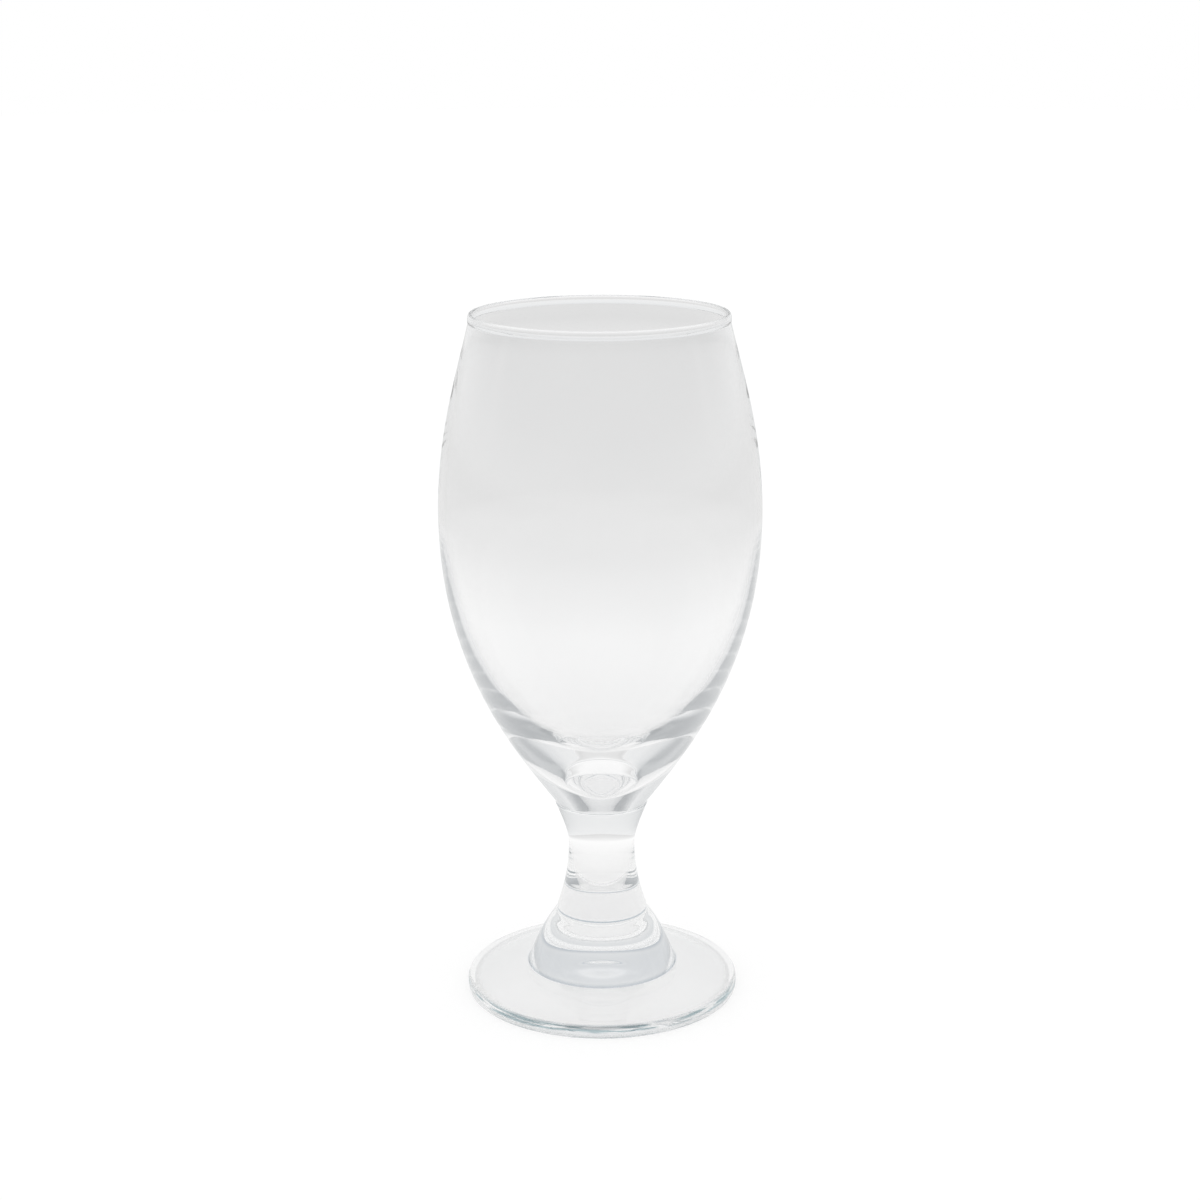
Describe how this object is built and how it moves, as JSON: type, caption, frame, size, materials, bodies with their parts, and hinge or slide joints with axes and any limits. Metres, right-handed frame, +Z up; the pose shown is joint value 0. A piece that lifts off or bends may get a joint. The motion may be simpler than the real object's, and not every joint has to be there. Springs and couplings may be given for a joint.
{
  "type": "stemmed beer glass",
  "caption": "Clear stemmed beer glass: a tall teardrop bowl with a thin beaded rim, a short waisted stem and a wide round foot.",
  "frame": {"origin": "middle of the foot, on the table", "axes": "+Z up along the glass's own axis, from the foot to the rim; the glass is round, so X and Y are free"},
  "size_m": [0.0828, 0.0828, 0.181],
  "materials": {
    "clear_glass": "clear, smooth and polished by the flame"
  },
  "bodies": {
    "root": {"bowl": "clear_glass", "stem": "clear_glass", "foot": "clear_glass"}
  },
  "joints": []
}
